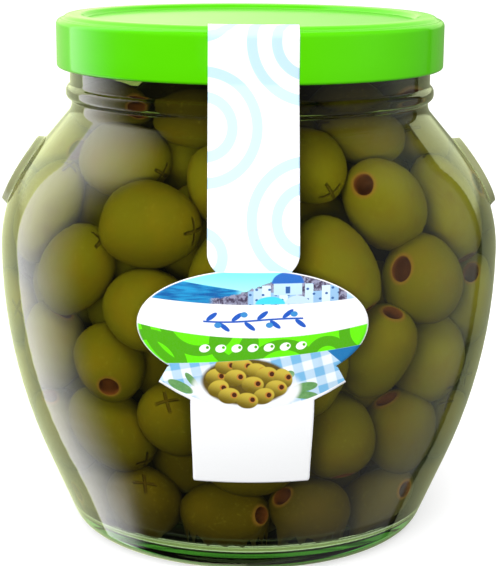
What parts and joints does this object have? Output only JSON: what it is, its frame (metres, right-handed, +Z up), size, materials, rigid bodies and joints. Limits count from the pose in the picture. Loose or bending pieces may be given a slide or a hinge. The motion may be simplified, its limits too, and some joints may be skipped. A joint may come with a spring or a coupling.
{
  "type": "jar of olives",
  "caption": "Belly-shaped glass jar of pitted green olives in brine, with a wide pressed twist-off lid and a die-cut paper label whose strip seals the lid",
  "frame": {"origin": "middle of the foot, on the plane the jar stands on", "axes": "+Z up along the jar's axis, -Y towards the label, +X towards one side medallion"},
  "size_m": [0.149, 0.1483, 0.1539],
  "materials": {
    "clear_glass": "clear soda-lime glass with a faint green tint",
    "green_enamel": "glossy bright green stoving enamel on tinplate",
    "olives": "wet smooth olive skin under yellow-green brine",
    "label_paper": "coated white label paper with printed picture"
  },
  "bodies": {
    "root": {"glass_jar": "clear_glass", "lid": "green_enamel", "olives_in_brine": "olives", "label": "label_paper"}
  },
  "joints": []
}
